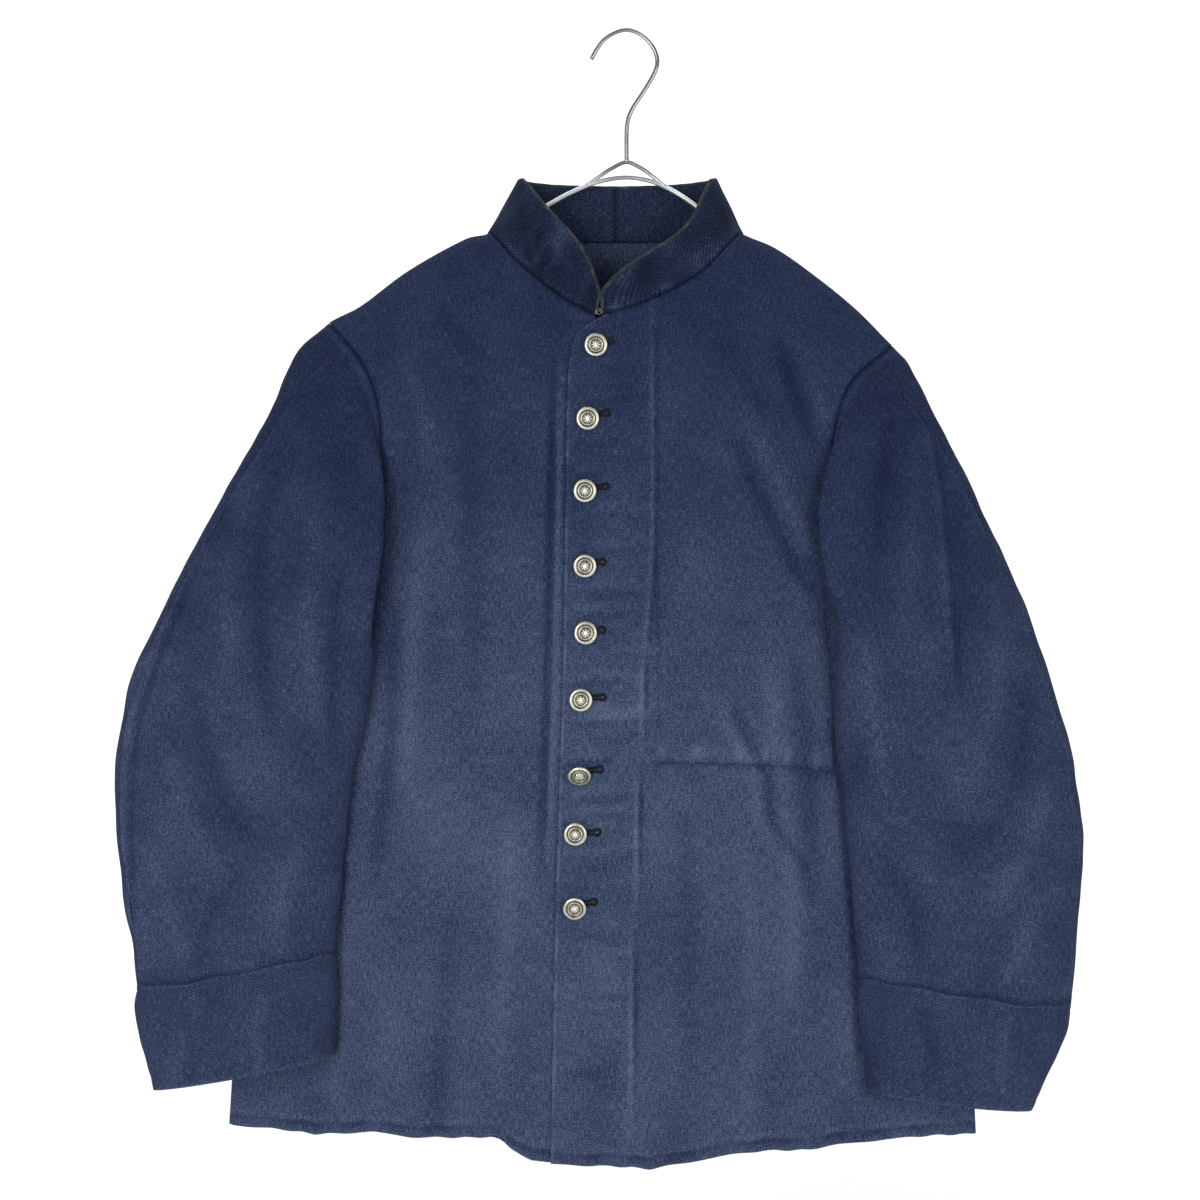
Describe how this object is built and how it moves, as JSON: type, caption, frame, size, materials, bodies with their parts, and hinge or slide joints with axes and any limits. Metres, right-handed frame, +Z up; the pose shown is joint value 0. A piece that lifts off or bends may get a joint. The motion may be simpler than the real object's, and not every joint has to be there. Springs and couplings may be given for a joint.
{
  "type": "stand-collar work jacket on a wire hanger",
  "caption": "Worn indigo twill work jacket with a bound stand collar, domed metal buttons and deep sewn-on cuffs, hanging buttoned on a polished wire hanger.",
  "frame": {"origin": "inside top of the hanger's hook, where it hangs on a rail", "axes": "+Z up, -Y out of the jacket's front, +X towards the wearer's left side"},
  "size_m": [0.7132, 0.0953, 0.8411],
  "materials": {
    "twill": "worn indigo twill, slightly faded along seams",
    "dark_twill": "darker, less worn indigo twill",
    "binding": "dull black rounded binding",
    "button_metal": "aged pewter-coloured metal, polished rim",
    "wire": "polished steel wire"
  },
  "bodies": {
    "root": {"front_right": "twill", "front_left": "twill", "back": "twill", "sleeve_right_upper": "twill", "sleeve_right_under": "twill", "sleeve_left_upper": "twill", "sleeve_left_under": "twill", "cuff_right": "twill", "cuff_left": "twill", "collar": "dark_twill", "collar_facing_right": "dark_twill", "collar_facing_left": "dark_twill", "inside_pocket": "dark_twill", "collar_binding": "binding", "button_1": "button_metal", "button_2": "button_metal", "button_3": "button_metal", "button_4": "button_metal", "button_5": "button_metal", "button_6": "button_metal", "button_7": "button_metal", "button_8": "button_metal", "button_9": "button_metal", "collar_hook": "wire", "hanger": "wire"}
  },
  "joints": []
}
